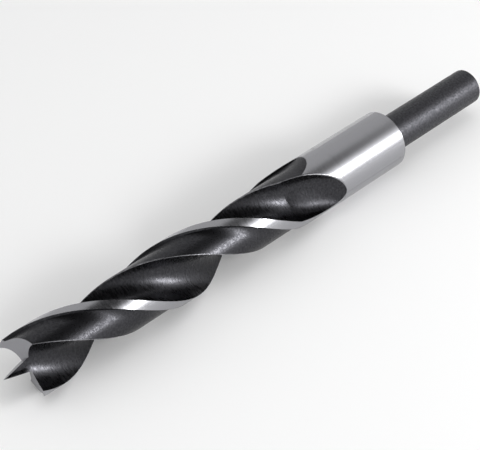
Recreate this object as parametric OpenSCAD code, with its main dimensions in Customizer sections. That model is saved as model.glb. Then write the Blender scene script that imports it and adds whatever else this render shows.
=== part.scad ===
// Brad point drill bit with two flutes and a reduced shank, lying on its side along +X.
// The origin is the centre of the shank's end face and the brad points along +X.

/* [Body] */
// Cutting diameter over the margins
cut_d = 16; // [14:0.5:20]
// Length from the end of the shank to the brad's point
total_len = 162.5; // [150:0.5:190]
// Diameter of the reduced shank
shank_d = 10; // [6:0.5:12]
// Length of the reduced shank
shank_len = 35.7; // [25:0.1:45]
// Chamfer on the end of the shank
shank_chamfer = 0.7; // [0.2:0.1:1.5]
// Chamfer on the shoulder of the collar
shoulder_chamfer = 0.25; // [0.1:0.05:0.6]

/* [Flutes] */
// Axial length of one full turn of the flutes
pitch = 82.8; // [70:0.2:100]
// Thickness of metal left between the two flutes
web = 2.25; // [1.8:0.1:3]
// Radius of the round bottom of a flute
flute_r = 6.15; // [5.8:0.05:6.6]
// Diameter behind the margins, over the body clearance
clearance_d = 13.8; // [13:0.1:14.4]
// Width of a margin round the body, in degrees
margin_deg = 18.6; // [12:0.2:24]
// Loss of diameter along the fluted part, so that the bit doesn't bind
back_taper = 0.04; // [0.02:0.01:0.1]
// Width of the broken edge along each heel
heel_break = 0.3; // [0.1:0.05:0.6]

/* [Run-out] */
// Depth below the brad's point at which the flutes have run out
flute_end = 103.7; // [95:0.1:106]
// Radius of the disc cutter, whose rise ends each flute
cutter_r = 24.5; // [20:0.5:40]
// Slope at which the cutter starts to rise, which leaves a crease across the flute
entry_deg = 5; // [0:0.5:10]
// Depth below the brad's point at which the body clearance has run out
clearance_end = 98.9; // [90:0.1:100]
// How far the end of the clearance curves back at the heel
clearance_curve = 6; // [0:0.5:8]
// How far the flutes straighten as the cutter leaves, in degrees
straighten_deg = 31; // [0:1:45]
// Length over which they straighten
straighten_len = 16.8; // [10:0.1:20]

/* [Point] */
// Depth of the two spurs below the brad's point
spur_depth = 4.6; // [3.5:0.1:5.5]
// Depth below the brad's point of the middle of the ground face
grind_depth = 6.5; // [6:0.1:8]
// Radius of the hollow ground along each lip
lip_hollow_r = 38; // [20:1:60]
// Relief angle behind each lip
relief_deg = 8.8; // [5:0.2:14]
// Angle of each flank of the brad to the axis
brad_flank_deg = 13.5; // [10:0.5:20]
// Turn of the brad's flanks from square to the lip
brad_skew_deg = 40; // [30:1:50]
// Length of the edge across the brad's point
brad_edge = 0.25; // [0.2:0.05:0.8]

/* [Resting] */
// Roll of the bit as it lies, where 90 has the two lips level
lay_roll = 83; // [0:1:180]

/* [Hidden] */

black_oxide = "#2b2b2e";
ground_steel = "#a9a9ad";
body_r = cut_d / 2;
clearance_r = clearance_d / 2;
shank_r = shank_d / 2;
shoulder_z = shank_len;
// Distance of the flute's round centre from the axis, before the cutter rises
flute_c = web / 2 + flute_r;
// Half angles from the middle of a flute to its lip edge and to its heel edge
lead_half = acos((body_r * body_r + flute_c * flute_c - flute_r * flute_r) / (2 * body_r * flute_c));
// The middle of a flute, behind the lip edge of the land before it
flute_mid = 180 - lead_half;
// The cutter's whole rise, from full depth to out of the metal
full_rise = body_r - web / 2;
// A sliver of flute is left at the last ring, so that the ring's points stay apart
last_sliver = 0.12;
last_rise = full_rise - last_sliver;
flute_full = flute_end - run_length(full_rise, entry_deg);
last_depth = flute_full + run_length(last_rise, entry_deg);
// The fluted blank reaches this far into the collar, to join it through solid metal
blank_into = 1.2;
// The clearance's step under the margin, and the length over which a cutter runs it out
clearance_step = body_r - clearance_r;
clearance_run = run_length(clearance_step, 0);
// Rings stand about this far apart along the flutes and in the run-out
ring_gap = 1.45;
run_gap = 1.15;
// The blank starts this far beyond the brad's point, and the end grind cuts it back
blank_over = 0.5;
// The grinds reach this far above the brad's point and past the spurs
grind_above = 6;
grind_beyond = 4;
margin_points = 4;
clearance_points = 8;
flute_points = 15;
arc_points = 12;
round_fn = 96;

// The length over which the cutter rises so far, when it starts at a slope
function run_length(height, slope_deg) =
    sqrt(pow(cutter_r, 2) - pow(cutter_r * cos(slope_deg) - height, 2)) - cutter_r * sin(slope_deg);

// The cutter's rise at a depth past its start
function rise(depth, start, slope_deg) =
    depth <= start ? 0
        : cutter_r * cos(slope_deg) - sqrt(pow(cutter_r, 2) - pow(cutter_r * sin(slope_deg) + depth - start, 2));

// The lip edge's angle round the axis at a depth, nought at the spurs
function lead_angle(depth) =
    let (straight = max(0, depth - flute_end + straighten_len) / straighten_len)
    -360 * (depth - spur_depth) / pitch + straighten_deg * straight;

function outer_r(depth) = body_r - back_taper / 2 * max(0, depth) / flute_end;

// The radius over the body clearance, which runs out sooner towards the heel
function land_r(depth, share) =
    let (start = clearance_end - clearance_run - clearance_curve * pow(share, 2))
    depth - start >= clearance_run ? outer_r(depth)
        : min(outer_r(depth), clearance_r + rise(depth, start, 0));

function polar(r, angle) = [r * cos(angle), r * sin(angle)];

// Half the web is thinned away towards the brad's point
function thinning(depth) = (web - brad_edge) / 2 * (1 - min(1, max(0, depth) / grind_depth));

// One land and the flute behind it, from the lip edge on, as [radius, angle behind the lip edge]
function half_section(depth) =
    let (
        c = flute_c + min(last_rise, rise(depth, flute_full, entry_deg)),
        ro = outer_r(depth),
        rh = land_r(depth, 1),
        lead = acos((ro * ro + c * c - flute_r * flute_r) / (2 * ro * c)),
        heel = acos((rh * rh + c * c - flute_r * flute_r) / (2 * rh * c)),
        heel_dir = 360 + atan2(-rh * sin(heel), rh * cos(heel) - c),
        lead_dir = atan2(ro * sin(lead), ro * cos(lead) - c),
        broken = min(heel_break * 180 / PI, (heel_dir - lead_dir) * flute_r / 4),
        land_from = lead - lead_half,
        land_to = flute_mid - heel - broken / rh,
        flute_from = heel_dir - broken / flute_r
    )
    concat(
        [for (i = [0:margin_points - 1])
            [ro, land_from + (margin_deg - land_from) * i / (margin_points - 1)]],
        [for (i = [0:clearance_points])
            let (share = i / clearance_points, first = margin_deg + 1)
            [land_r(depth, share), first + (land_to - first) * share]],
        [for (i = [0:flute_points])
            let (
                dir = flute_from + (lead_dir - flute_from) * i / (flute_points + 1),
                p = [c + flute_r * cos(dir), flute_r * sin(dir)],
                off = atan2(p[1], p[0]),
                near = max(0, cos(90 * min(1, abs(off) / 42)))
            )
            [norm(p) - thinning(depth) * near * near, flute_mid + off]]
    );

function ring(depth) =
    let (half = half_section(depth))
    [for (side = [0, 180], p = half)
        let (xy = polar(p[0], lead_angle(depth) + side - p[1]))
        [xy[0], xy[1], total_len - depth]];

function steps(from, to, gap) =
    let (n = ceil((to - from) / gap))
    [for (i = [1:n]) from + (to - from) * i / n];

// The milled blank: rings of the section, twisted along the axis and closed at both ends
module fluted_blank() {
    depths = concat(
        [-blank_over],
        steps(-blank_over, flute_full, ring_gap),
        steps(flute_full, last_depth, run_gap),
        [last_depth + blank_into]);
    rings = [for (d = depths) ring(d)];
    n = len(rings[0]);
    last = len(rings) - 1;
    points = [for (r = rings, p = r) p];
    sides = [for (k = [0:last - 1], i = [0:n - 1])
        let (a = k * n + i, b = k * n + (i + 1) % n)
        each [[a, b + n, b], [a, a + n, b + n]]];
    polyhedron(points, concat([[for (i = [0:n - 1]) i]], sides, [[for (i = [n - 1:-1:0]) last * n + i]]));
}

// The hollow ground face's profile in the plane of a lip, from beyond the axis to the spur
function relief_profile() =
    let (
        middle = [0, grind_depth],
        spur = [body_r, spur_depth],
        chord = spur - middle,
        half = norm(chord) / 2,
        up = atan2(chord[1], chord[0]) + 90,
        centre = (middle + spur) / 2 - sqrt(lip_hollow_r * lip_hollow_r - half * half) * polar(1, up),
        to = atan2(spur[1] - centre[1], spur[0] - centre[0])
    )
    concat(
        [[centre[0], -grind_above]],
        [for (i = [0:arc_points]) centre + lip_hollow_r * polar(1, 90 + (to - 90) * i / arc_points)],
        [[body_r + grind_beyond, spur_depth], [body_r + grind_beyond, -grind_above]]);

// The metal that one grind takes off, in a frame whose depth points down the axis
module grinding_pass() {
    below = grind_depth + grind_beyond;
    slope = tan(brad_flank_deg);
    intersection() {
        rotate([relief_deg, 0, 0])
            rotate([90, 0, 0])
                linear_extrude(height = 4 * cut_d, center = true)
                    polygon([for (p = relief_profile()) [p[0], p[1] * cos(relief_deg)]]);
        rotate([0, 0, brad_skew_deg])
            rotate([90, 0, 0])
                linear_extrude(height = 4 * cut_d, center = true)
                    polygon([[-slope * grind_above, -grind_above], [slope * below, below],
                        [2 * cut_d, below], [2 * cut_d, -grind_above]]);
    }
}

module fluted_body() {
    color(black_oxide)
        difference() {
            fluted_blank();
            for (side = [0, 180])
                rotate([0, 0, side]) translate([0, 0, total_len]) rotate([180, 0, 0]) grinding_pass();
        }
}

module collar() {
    top = total_len - last_depth;
    color(ground_steel) {
        translate([0, 0, shoulder_z + shoulder_chamfer])
            cylinder(r = body_r, h = top - shoulder_z - shoulder_chamfer, $fn = round_fn);
        translate([0, 0, shoulder_z])
            cylinder(r1 = body_r - shoulder_chamfer, r2 = body_r, h = shoulder_chamfer, $fn = round_fn);
    }
}

module shank() {
    color(black_oxide) {
        cylinder(r1 = shank_r - shank_chamfer, r2 = shank_r, h = shank_chamfer, $fn = round_fn);
        translate([0, 0, shank_chamfer])
            cylinder(r = shank_r, h = shoulder_z - shank_chamfer, $fn = round_fn);
    }
}

module drill_bit() {
    rotate([0, 90, 0])
        rotate([0, 0, lay_roll]) {
            fluted_body();
            collar();
            shank();
        }
}

drill_bit();
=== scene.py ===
"""A brad point drill bit of 16 mm on a pale studio floor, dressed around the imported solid.

The bit's skin is worked out in millimetres, standing on its shank end, and then laid along +X.
"""

from math import acos, atan2, ceil, cos, degrees, hypot, pi, radians, sin, sqrt, tan

import bmesh
import bpy
from mathutils import Matrix, Vector


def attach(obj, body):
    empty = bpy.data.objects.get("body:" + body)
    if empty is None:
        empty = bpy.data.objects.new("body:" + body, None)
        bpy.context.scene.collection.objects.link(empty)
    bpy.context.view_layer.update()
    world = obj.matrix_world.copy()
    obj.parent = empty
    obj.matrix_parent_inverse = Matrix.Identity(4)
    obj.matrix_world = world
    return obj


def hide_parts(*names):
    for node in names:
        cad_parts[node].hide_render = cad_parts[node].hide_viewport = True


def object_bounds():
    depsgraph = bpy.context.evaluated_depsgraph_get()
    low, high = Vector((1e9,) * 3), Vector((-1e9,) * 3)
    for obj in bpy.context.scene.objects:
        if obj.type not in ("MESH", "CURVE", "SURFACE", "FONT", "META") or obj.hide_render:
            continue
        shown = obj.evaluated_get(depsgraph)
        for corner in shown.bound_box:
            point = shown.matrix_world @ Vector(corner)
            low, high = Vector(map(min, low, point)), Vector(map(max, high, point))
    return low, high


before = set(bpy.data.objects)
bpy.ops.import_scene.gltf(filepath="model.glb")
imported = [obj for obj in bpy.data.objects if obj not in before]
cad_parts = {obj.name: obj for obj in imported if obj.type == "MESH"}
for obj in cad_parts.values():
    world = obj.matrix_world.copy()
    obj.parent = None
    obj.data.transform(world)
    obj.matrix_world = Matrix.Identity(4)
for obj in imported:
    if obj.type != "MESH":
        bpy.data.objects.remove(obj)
cad_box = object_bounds()

MM = 0.001

# Body, in millimetres and degrees
CUT_D = 16.0
TOTAL_LEN = 162.5
SHANK_D = 10.0
SHANK_LEN = 35.7
SHANK_CHAMFER = 0.7
SHOULDER_CHAMFER = 0.25

# Flutes
PITCH = 82.8
WEB = 2.25
FLUTE_R = 6.15
CLEARANCE_D = 13.8
MARGIN_DEG = 18.6
STEP_DEG = 1.0
BACK_TAPER = 0.04
HEEL_ROUND = 0.3
FOOT_ROUND = 2.2
FOOT_START = 0.8

# Run-out
FLUTE_END = 103.7
CUTTER_R = 24.5
ENTRY_DEG = 5.0
CLEARANCE_END = 98.9
CLEARANCE_CURVE = 6.0
STRAIGHTEN_DEG = 31.0
STRAIGHTEN_LEN = 16.8
LAST_SLIVER = BACK_TAPER / 2 + 0.004
CREASE_DEG = 24.0
LIFT_SKEW = 1.6

# Point
SPUR_DEPTH = 4.6
GRIND_DEPTH = 6.5
LIP_HOLLOW_R = 38.0
RELIEF_DEG = 8.8
BRAD_FLANK_DEG = 13.5
BRAD_SKEW_DEG = 40.0
BRAD_EDGE = 0.25
THINNED_DEG = 42.0

LAY_ROLL = 83.0

# How finely the skin is divided
RING_GAP = 0.6
RUN_GAP = 0.35
MARGIN_STEPS = 5
CLEARANCE_STEPS = 40
HEEL_STEPS = 4
FLUTE_STEPS = 40
HOLLOW_STEPS = 40
SHARP_DEG = 30.0

# The grinding solids reach this far past the metal they take off
GRIND_ABOVE = 6.0
GRIND_BEYOND = 4.0
BLANK_OVER = 0.5

# Slots of the skin
FLUTES, LANDS, HEELS, POINT, SHANK = range(5)

BODY_R = CUT_D / 2
CLEARANCE_R = CLEARANCE_D / 2
FLUTE_C = WEB / 2 + FLUTE_R
FULL_RISE = BODY_R - WEB / 2
LAST_RISE = FULL_RISE - LAST_SLIVER


def run_length(height, slope_deg):
    """The length over which the disc cutter rises so far, when it starts at a slope"""
    slope = radians(slope_deg)
    return sqrt(CUTTER_R**2 - (CUTTER_R * cos(slope) - height) ** 2) - CUTTER_R * sin(slope)


FLUTE_FULL = FLUTE_END - run_length(FULL_RISE, ENTRY_DEG)
LAST_DEPTH = FLUTE_FULL + run_length(LAST_RISE, ENTRY_DEG)
CLEARANCE_RUN = run_length(BODY_R - CLEARANCE_R, 0)


def corner_deg(radius, centre):
    """The angle from a flute's middle to where its round crosses a radius, in degrees"""
    return degrees(acos((radius**2 + centre**2 - FLUTE_R**2) / (2 * radius * centre)))


LEAD_HALF = corner_deg(BODY_R, FLUTE_C)
FLUTE_MID = 180 - LEAD_HALF


def polar(radius, angle_deg):
    return Vector((radius * cos(radians(angle_deg)), radius * sin(radians(angle_deg))))


def angle_of(point):
    return degrees(atan2(point[1], point[0]))


def rise(depth, start, slope_deg):
    """How far the disc cutter has lifted, at a depth past the start of its lift"""
    if depth <= start:
        return 0.0
    slope = radians(slope_deg)
    return CUTTER_R * cos(slope) - sqrt(CUTTER_R**2 - (CUTTER_R * sin(slope) + depth - start) ** 2)


def lead_angle(depth):
    """The lip edge's angle round the axis, nought at the spurs"""
    straight = max(0, depth - FLUTE_END + STRAIGHTEN_LEN) / STRAIGHTEN_LEN
    return -360 * (depth - SPUR_DEPTH) / PITCH + STRAIGHTEN_DEG * straight


def outer_r(depth):
    return BODY_R - BACK_TAPER / 2 * max(0, depth) / FLUTE_END


def land_r(depth, share):
    """The radius over the body clearance, which runs out sooner towards the heel"""
    start = CLEARANCE_END - CLEARANCE_RUN - CLEARANCE_CURVE * share**2
    if depth - start >= CLEARANCE_RUN:
        return outer_r(depth)
    return min(outer_r(depth), CLEARANCE_R + rise(depth, start, 0))


def foot_round(depth, share, along):
    """The height of the round at the foot of the step behind a margin, so far along from the step"""
    near = FOOT_START * max(0, 1 - along / FOOT_ROUND)
    return (outer_r(depth) - land_r(depth, share)) * (1 - sqrt(1 - near**2))


def thinning(depth):
    """Half the web is thinned away towards the brad's point"""
    return (WEB - BRAD_EDGE) / 2 * (1 - min(1, max(0, depth) / GRIND_DEPTH))


def crease_lift(depth):
    """How far the flute's floor jumps up past the crease where the cutter starts to leave, back to
    nothing where the flute ends"""
    past = max(0, depth - FLUTE_FULL)
    return tan(radians(CREASE_DEG)) * past * max(0, 1 - past / (FLUTE_END - FLUTE_FULL)) ** 2


def share_steps(count):
    return [i / count for i in range(count + 1)]


def rounded_corner(before, corner, after):
    """The points between two ends of a corner that is rounded off"""
    inner = share_steps(HEEL_STEPS)[1:-1]
    return [before * (1 - t) ** 2 + corner * (2 * t * (1 - t)) + after * t**2 for t in inner]


def half_section(depth):
    """One land, the heel's round and the flute behind it, as lists of [radius, angle behind the lip]"""
    centre = FLUTE_C + min(LAST_RISE, rise(depth, FLUTE_FULL, ENTRY_DEG))
    ro, rh = outer_r(depth), land_r(depth, 1)
    lead, heel = corner_deg(ro, centre), corner_deg(rh, centre)
    land_from, land_to = lead - LEAD_HALF, FLUTE_MID - heel
    heel_dir = 360 + angle_of(polar(rh, -heel) - Vector((centre, 0)))
    lead_dir = angle_of(polar(ro, lead) - Vector((centre, 0)))
    flute_deg = heel_dir - lead_dir
    round_off = min(HEEL_ROUND, radians(flute_deg) * FLUTE_R / 4)
    land_end = land_to - degrees(round_off / rh)
    flute_start = heel_dir - degrees(round_off / FLUTE_R)

    land = [(ro, land_from + (MARGIN_DEG - land_from) * t) for t in share_steps(MARGIN_STEPS)]
    first = MARGIN_DEG + STEP_DEG
    for t in share_steps(CLEARANCE_STEPS):
        past_step = (land_end - first) * t
        along = radians(past_step) * CLEARANCE_R
        land.append((land_r(depth, t) + foot_round(depth, t, along), first + past_step))

    def on_flute(direction):
        return Vector((centre, 0)) + polar(FLUTE_R, direction)

    arc = [on_flute(flute_start + (lead_dir - flute_start) * t) for t in share_steps(FLUTE_STEPS)[:-1]]
    corner = rounded_corner(polar(rh, land_end - FLUTE_MID), on_flute(heel_dir), arc[0])

    def thinned(point, lift):
        off = angle_of(point)
        near = max(0, cos(radians(90 * min(1, abs(off) / THINNED_DEG))))
        return point.length - thinning(depth) * near**2 + lift, FLUTE_MID + off

    lifts = [crease_lift(depth) * sin(pi * t**LIFT_SKEW) for t in share_steps(FLUTE_STEPS)]
    return land, [thinned(point, 0) for point in corner], [thinned(*pair) for pair in zip(arc, lifts)]


def at(radius, angle_deg, depth):
    point = polar(radius, angle_deg)
    return (point.x, point.y, TOTAL_LEN - depth)


def even(start, end, gap):
    count = ceil((end - start) / gap)
    return [start + (end - start) * i / count for i in range(1, count + 1)]


def ring_depths():
    """Depths of the rings, closer together where a flute narrows to nothing"""
    tail = 6.0
    depths = [-BLANK_OVER] + even(-BLANK_OVER, FLUTE_FULL, RING_GAP)
    depths += even(FLUTE_FULL, LAST_DEPTH - tail, RUN_GAP)
    depths += [LAST_DEPTH - tail * (1 - t) ** 2 for t in share_steps(24)[1:]]
    return depths


def blank_and_shank():
    """The whole skin before the point is ground: fluted part, collar, shoulder and shank"""
    mesh = bmesh.new()
    rows = []
    for depth in ring_depths():
        parts = half_section(depth)
        row = []
        for side in (0, 180):
            turn = lead_angle(depth) + side
            row.append([[mesh.verts.new(at(r, turn - a, depth)) for r, a in part] for part in parts])
        rows.append(row)

    def face(corners, slot):
        made = mesh.faces.new(corners)
        made.material_index = slot
        made.smooth = True

    for above, below in zip(rows, rows[1:]):
        for half in (0, 1):
            strips = []
            for row in (above, below):
                land, corner, flute = row[half]
                strips.append((land, [land[-1]] + corner + [flute[0]], flute + [row[1 - half][0][0]]))
            for part, slot in enumerate((LANDS, HEELS, FLUTES)):
                up, down = strips[0][part], strips[1][part]
                for i in range(len(up) - 1):
                    face((up[i], up[i + 1], down[i + 1], down[i]), slot)
    face([v for half in rows[0] for part in half for v in part][::-1], POINT)

    # Past the run-out the section is round, and keeps only the points of the lands
    last_land = half_section(LAST_DEPTH)[0]
    angles = [lead_angle(LAST_DEPTH) + side - a for side in (0, 180) for _, a in last_land]
    shoulder = TOTAL_LEN - SHANK_LEN
    profile = [
        (BODY_R, LAST_DEPTH + 0.05, LANDS),
        (BODY_R, shoulder - SHOULDER_CHAMFER, LANDS),
        (BODY_R - SHOULDER_CHAMFER, shoulder, LANDS),
        (SHANK_D / 2 + 0.15, shoulder, LANDS),
        (SHANK_D / 2, shoulder + 0.15, SHANK),
        (SHANK_D / 2, TOTAL_LEN - SHANK_CHAMFER, SHANK),
        (SHANK_D / 2 - SHANK_CHAMFER, TOTAL_LEN, SHANK),
    ]
    rounds = [[mesh.verts.new(at(r, a, depth)) for a in angles] for r, depth, _ in profile]
    land_ring = [v for half in rows[-1] for v in half[0]]
    count = len(angles)
    for i in range(count):
        j = (i + 1) % count
        if j % len(last_land):
            face((land_ring[i], land_ring[j], rounds[0][j], rounds[0][i]), LANDS)
        else:
            _, corner, flute = rows[-1][i // len(last_land)]
            face([land_ring[i]] + corner + flute + [land_ring[j], rounds[0][j], rounds[0][i]], LANDS)
        for k in range(len(profile) - 1):
            face((rounds[k][i], rounds[k][j], rounds[k + 1][j], rounds[k + 1][i]), profile[k + 1][2])
    face(rounds[-1], SHANK)
    bmesh.ops.recalc_face_normals(mesh, faces=mesh.faces)
    return mesh


def prism(profile, turn):
    """A long bar of a profile given as [across, depth], turned in the grinding frame"""
    mesh = bmesh.new()
    reach = 2 * CUT_D
    ends = [[mesh.verts.new(turn @ Vector((x, y, depth))) for x, depth in profile] for y in (-reach, reach)]
    mesh.faces.new(ends[0])
    mesh.faces.new(ends[1][::-1])
    for i in range(len(profile)):
        j = (i + 1) % len(profile)
        mesh.faces.new((ends[0][j], ends[0][i], ends[1][i], ends[1][j]))
    for made in mesh.faces:
        made.material_index = POINT
        made.smooth = True
    bmesh.ops.recalc_face_normals(mesh, faces=mesh.faces)
    return mesh


def relief_bar():
    """The hollow ground face behind a lip, from beyond the axis to the spur"""
    middle, spur = Vector((0, GRIND_DEPTH)), Vector((BODY_R, SPUR_DEPTH))
    chord = spur - middle
    up = angle_of(chord) + 90
    centre = (middle + spur) / 2 - polar(sqrt(LIP_HOLLOW_R**2 - (chord.length / 2) ** 2), up)
    to = angle_of(spur - centre)
    profile = [Vector((centre.x, -GRIND_ABOVE))]
    profile += [centre + polar(LIP_HOLLOW_R, 90 + (to - 90) * t) for t in share_steps(HOLLOW_STEPS)]
    profile += [Vector((BODY_R + GRIND_BEYOND, SPUR_DEPTH)), Vector((BODY_R + GRIND_BEYOND, -GRIND_ABOVE))]
    squeeze = cos(radians(RELIEF_DEG))
    return prism([(x, depth * squeeze) for x, depth in profile], Matrix.Rotation(radians(RELIEF_DEG), 4, "X"))


def flank_bar():
    """Everything outside one flank of the brad"""
    below = GRIND_DEPTH + GRIND_BEYOND
    slope = tan(radians(BRAD_FLANK_DEG))
    profile = [(-slope * GRIND_ABOVE, -GRIND_ABOVE), (slope * below, below), (2 * CUT_D, below),
               (2 * CUT_D, -GRIND_ABOVE)]
    return prism(profile, Matrix.Rotation(radians(BRAD_SKEW_DEG), 4, "Z"))


def as_object(name, mesh, materials=()):
    data = bpy.data.meshes.new(name)
    mesh.to_mesh(data)
    mesh.free()
    for material in materials:
        data.materials.append(material)
    made = bpy.data.objects.new(name, data)
    bpy.context.scene.collection.objects.link(made)
    return made


def carve(body, tool, operation):
    """Applies one boolean cut to a body and removes the tool"""
    cut = body.modifiers.new("cut", "BOOLEAN")
    cut.operation = operation
    cut.solver = "EXACT"
    cut.object = tool
    result = bpy.data.meshes.new_from_object(body.evaluated_get(bpy.context.evaluated_depsgraph_get()))
    body.modifiers.clear()
    body.data = result
    bpy.data.objects.remove(tool)


def drill_bit(materials):
    """The ground and finished bit, laid along +X in metres"""
    bit = as_object("brad_point_bit", blank_and_shank(), materials)
    for side in (0, 180):
        grind = as_object("grind", relief_bar(), materials)
        carve(grind, as_object("flank", flank_bar(), materials), "INTERSECT")
        grind.data.transform(
            Matrix.Rotation(radians(side), 4, "Z")
            @ Matrix.Translation((0, 0, TOTAL_LEN))
            @ Matrix.Rotation(pi, 4, "X"))
        carve(bit, grind, "DIFFERENCE")
    bit.data.transform(
        Matrix.Scale(MM, 4)
        @ Matrix.Rotation(radians(90), 4, "Y")
        @ Matrix.Rotation(radians(LAY_ROLL), 4, "Z"))
    bit.data.set_sharp_from_angle(angle=radians(SHARP_DEG))
    weighted = bit.modifiers.new("even_normals", "WEIGHTED_NORMAL")
    weighted.keep_sharp = True
    return bit


def linear(hex_colour):
    """An sRGB hex colour as linear light"""
    parts = [int(hex_colour[i:i + 2], 16) / 255 for i in (1, 3, 5)]
    return tuple(c / 12.92 if c <= 0.04045 else ((c + 0.055) / 1.055) ** 2.4 for c in parts) + (1.0,)


def add_node(tree, kind, inputs=None, **settings):
    """Adds a node; an input is a value or the socket that feeds it"""
    node = tree.nodes.new(kind)
    for name, value in settings.items():
        setattr(node, name, value)
    for name, value in (inputs or {}).items():
        if isinstance(value, bpy.types.NodeSocket):
            tree.links.new(value, node.inputs[name])
        else:
            node.inputs[name].default_value = value
    return node


def new_material(name):
    material = bpy.data.materials.new(name)
    material.use_nodes = True
    tree = material.node_tree
    shader = next(n for n in tree.nodes if n.type == "BSDF_PRINCIPLED")
    shader.inputs["Metallic"].default_value = 1.0
    place = add_node(tree, "ShaderNodeTexCoord").outputs["Object"]
    return material, tree, shader, place


def speckle(tree, place, across, along, detail=3.0):
    """Noise whose grains measure so many millimetres across and along the bit"""
    scaled = add_node(tree, "ShaderNodeMapping", {
        "Vector": place, "Scale": (1 / (along * MM), 1 / (across * MM), 1 / (across * MM))})
    return add_node(tree, "ShaderNodeTexNoise", {
        "Vector": scaled.outputs["Vector"], "Scale": 1.0, "Detail": detail, "Roughness": 0.6})


def spread(tree, value, low, high, to_low, to_high):
    return add_node(tree, "ShaderNodeMapRange", {
        "Value": value, "From Min": low, "From Max": high, "To Min": to_low, "To Max": to_high}).outputs["Result"]


def blended(tree, factor, first, second):
    made = add_node(tree, "ShaderNodeMix", {"Factor": factor}, data_type="RGBA")
    for name, value in (("A_Color", first), ("B_Color", second)):
        socket = next(s for s in made.inputs if s.identifier == name)
        if isinstance(value, bpy.types.NodeSocket):
            tree.links.new(value, socket)
        else:
            socket.default_value = value
    return next(s for s in made.outputs if s.identifier == "Result_Color")


FLUTE_DARK = linear("#353538")
FLUTE_PALE = linear("#464649")
SHANK_DARK = linear("#414144")
SHANK_PALE = linear("#525256")
GROUND_STEEL = linear("#a2a2a6")


def bump(tree, height, strength, depth_mm, under=None):
    """Relief of a depth in millimetres, on top of another relief if one is given"""
    inputs = {"Strength": strength, "Distance": depth_mm * MM, "Height": height}
    if under:
        inputs["Normal"] = under
    return add_node(tree, "ShaderNodeBump", inputs).outputs["Normal"]


def milled_black_oxide():
    """High-speed steel milled and blackened: near black, with a sheen that short marks across the
    flute and fine grit break up"""
    material, tree, shader, place = new_material("milled_black_oxide")
    marks = speckle(tree, place, across=2.2, along=0.6, detail=1.5).outputs["Fac"]
    grit = speckle(tree, place, across=0.5, along=0.4, detail=4.0).outputs["Fac"]
    patchy = spread(tree, grit, 0.35, 0.65, 0.0, 1.0)
    tree.links.new(blended(tree, patchy, FLUTE_DARK, FLUTE_PALE), shader.inputs["Base Color"])
    tree.links.new(spread(tree, marks, 0.4, 0.6, 0.24, 0.34), shader.inputs["Roughness"])
    coarse = bump(tree, marks, 0.5, 0.05)
    tree.links.new(bump(tree, grit, 0.5, 0.05, under=coarse), shader.inputs["Normal"])
    return material


def ground_over_oxide():
    """Blackened steel whose outer round was ground afterwards: margins and collar are bright, the
    clearance below them stays dark and gritty"""
    material, tree, shader, place = new_material("ground_over_oxide")
    apart = add_node(tree, "ShaderNodeSeparateXYZ", {"Vector": place})
    flat = add_node(tree, "ShaderNodeCombineXYZ", {"Y": apart.outputs["Y"], "Z": apart.outputs["Z"]})
    radius = add_node(tree, "ShaderNodeVectorMath", {0: flat.outputs["Vector"]}, operation="LENGTH").outputs["Value"]
    bright = spread(tree, radius, (BODY_R - 0.07) * MM, (BODY_R - 0.045) * MM, 0.0, 1.0)
    grit = speckle(tree, place, across=0.5, along=0.5, detail=4.0).outputs["Fac"]
    lines = speckle(tree, place, across=4.0, along=0.3, detail=2.0).outputs["Fac"]
    oxide = blended(tree, spread(tree, grit, 0.35, 0.65, 0.0, 1.0), FLUTE_DARK, FLUTE_PALE)
    tree.links.new(blended(tree, bright, oxide, GROUND_STEEL), shader.inputs["Base Color"])
    dull = spread(tree, grit, 0.4, 0.6, 0.38, 0.27)
    polished = spread(tree, lines, 0.35, 0.65, 0.19, 0.27)
    rough = add_node(tree, "ShaderNodeMix", {"Factor": bright, "A": dull, "B": polished}, data_type="FLOAT")
    tree.links.new(rough.outputs["Result"], shader.inputs["Roughness"])
    pitted = bump(tree, grit, 0.5, 0.05)
    smooth = bump(tree, lines, 0.2, 0.01)
    normal = add_node(tree, "ShaderNodeMix", {"Factor": bright}, data_type="VECTOR")
    for name, relief in (("A_Vector", pitted), ("B_Vector", smooth)):
        tree.links.new(relief, next(s for s in normal.inputs if s.identifier == name))
    tree.links.new(next(s for s in normal.outputs if s.identifier == "Result_Vector"), shader.inputs["Normal"])
    return material


def rubbed_heel():
    """Heel edge where the oxide has rubbed through in a thin line, and bare steel in the collar"""
    material, tree, shader, place = new_material("rubbed_heel")
    along = add_node(tree, "ShaderNodeSeparateXYZ", {"Vector": place}).outputs["X"]
    in_collar = spread(tree, along, (TOTAL_LEN - 94) * MM, (TOTAL_LEN - 88) * MM, 1.0, 0.0)
    rubbed = speckle(tree, place, across=0.6, along=1.2, detail=3.0).outputs["Fac"]
    worn = blended(tree, spread(tree, rubbed, 0.35, 0.65, 0.2, 0.9), FLUTE_PALE, GROUND_STEEL)
    tree.links.new(blended(tree, in_collar, worn, GROUND_STEEL), shader.inputs["Base Color"])
    tree.links.new(spread(tree, rubbed, 0.3, 0.7, 0.36, 0.24), shader.inputs["Roughness"])
    return material


def ground_point():
    """Bare steel fresh from the wheel: an even mid grey with fine scratches"""
    material, tree, shader, place = new_material("ground_point")
    scratches = speckle(tree, place, across=0.12, along=2.0, detail=2.0).outputs["Fac"]
    shader.inputs["Base Color"].default_value = linear("#97979b")
    tree.links.new(spread(tree, scratches, 0.3, 0.7, 0.36, 0.46), shader.inputs["Roughness"])
    tree.links.new(bump(tree, scratches, 0.3, 0.01), shader.inputs["Normal"])
    return material


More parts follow.
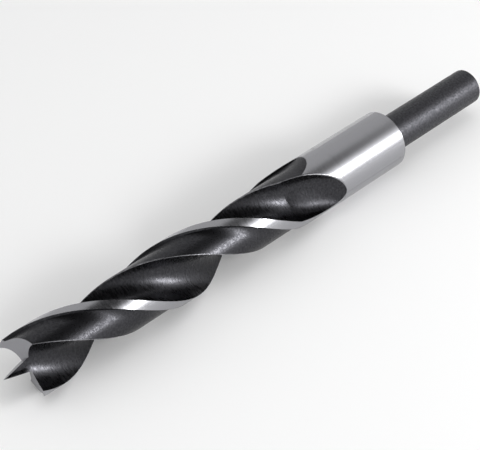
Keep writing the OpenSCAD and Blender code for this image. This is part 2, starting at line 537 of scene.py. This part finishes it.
def turned_black_oxide():
    """Turned and blackened shank: satin dark grey with a mottled sheen"""
    material, tree, shader, place = new_material("turned_black_oxide")
    mottle = speckle(tree, place, across=0.55, along=0.55, detail=4.0).outputs["Fac"]
    patchy = spread(tree, mottle, 0.35, 0.65, 0.0, 1.0)
    tree.links.new(blended(tree, patchy, SHANK_DARK, SHANK_PALE), shader.inputs["Base Color"])
    tree.links.new(spread(tree, mottle, 0.35, 0.65, 0.58, 0.38), shader.inputs["Roughness"])
    tree.links.new(bump(tree, mottle, 0.5, 0.06), shader.inputs["Normal"])
    return material


def direction(azimuth, elevation):
    a, e = radians(azimuth), radians(elevation)
    return Vector((cos(e) * cos(a), cos(e) * sin(a), sin(e)))


def softbox(name, azimuth, elevation, distance, width, height, radiance, in_gloss=True):
    """A rectangular studio light that faces the middle of the bit, in millimetres"""
    data = bpy.data.lights.new(name, "AREA")
    data.shape = "RECTANGLE"
    data.size, data.size_y = width * MM, height * MM
    data.energy = radiance * pi * data.size * data.size_y
    light = bpy.data.objects.new(name, data)
    light.location = MIDDLE + direction(azimuth, elevation) * distance * MM
    light.rotation_euler = (MIDDLE - light.location).to_track_quat("-Z", "Y").to_euler()
    light.visible_glossy = in_gloss
    bpy.context.scene.collection.objects.link(light)


def key_light():
    """The main softbox: boxes of growing size one over another, so that its edges fade"""
    boxes = ((330, 125, 18.0), (480, 260, 1.4), (640, 420, 0.5), (860, 600, 0.3))
    for step, (width, height, radiance) in enumerate(boxes):
        softbox(f"key_{step}", azimuth=125, elevation=23, distance=700 + step, width=width, height=height,
                radiance=radiance)


def studio_floor():
    mesh = bmesh.new()
    bmesh.ops.create_circle(mesh, cap_ends=True, segments=96, radius=4.0)
    floor = as_object("studio_floor", mesh)
    floor.location.z = cad_box[0][2]
    material = bpy.data.materials.new("pale_floor")
    material.use_nodes = True
    shader = next(n for n in material.node_tree.nodes if n.type == "BSDF_PRINCIPLED")
    shader.inputs["Base Color"].default_value = linear("#f6f6f6")
    shader.inputs["Roughness"].default_value = 0.9
    shader.inputs["Specular IOR Level"].default_value = 0.1
    floor.data.materials.append(material)


def studio_sky():
    """Pale walls and a dark patch of ceiling, a little to the camera's side of straight above"""
    world = bpy.data.worlds.new("studio")
    world.use_nodes = True
    tree = world.node_tree
    tree.nodes.clear()
    upward = add_node(tree, "ShaderNodeTexCoord").outputs["Generated"]
    near_patch = add_node(tree, "ShaderNodeVectorMath", {0: upward, 1: direction(90, 76)}, operation="DOT_PRODUCT")
    glow = spread(tree, near_patch.outputs["Value"], 0.765, 0.81, 0.73, 0.04)
    back = add_node(tree, "ShaderNodeBackground", {"Color": linear("#ffffff"), "Strength": glow})
    add_node(tree, "ShaderNodeOutputWorld", {"Surface": back.outputs["Background"]})
    bpy.context.scene.world = world


def photo_camera():
    """The photograph's viewpoint, from a fit to the bit's outline"""
    data = bpy.data.cameras.new("camera")
    data.sensor_width = 36.0
    data.lens = 108.85
    data.clip_start = 0.01
    camera = bpy.data.objects.new("camera", data)
    camera.location = Vector((281.335, 195.746, 233.706)) * MM
    looks_at = Vector((88.081, -1.352, 0.0)) * MM
    camera.rotation_euler = (looks_at - camera.location).to_track_quat("-Z", "Y").to_euler()
    bpy.context.scene.collection.objects.link(camera)
    bpy.context.scene.camera = camera


MIDDLE = Vector((TOTAL_LEN / 2, 0, 0)) * MM

photo_camera()
bit = drill_bit([
    milled_black_oxide(), ground_over_oxide(), rubbed_heel(), ground_point(), turned_black_oxide()])
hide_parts("drill_bit")
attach(bit, "root")

bpy.context.scene.view_settings.view_transform = "Standard"
studio_floor()
studio_sky()
key_light()
softbox("fill", azimuth=-40, elevation=30, distance=900, width=500, height=400, radiance=1.0)
softbox("floor_wash", azimuth=45, elevation=85, distance=900, width=800, height=800, radiance=1.2, in_gloss=False)
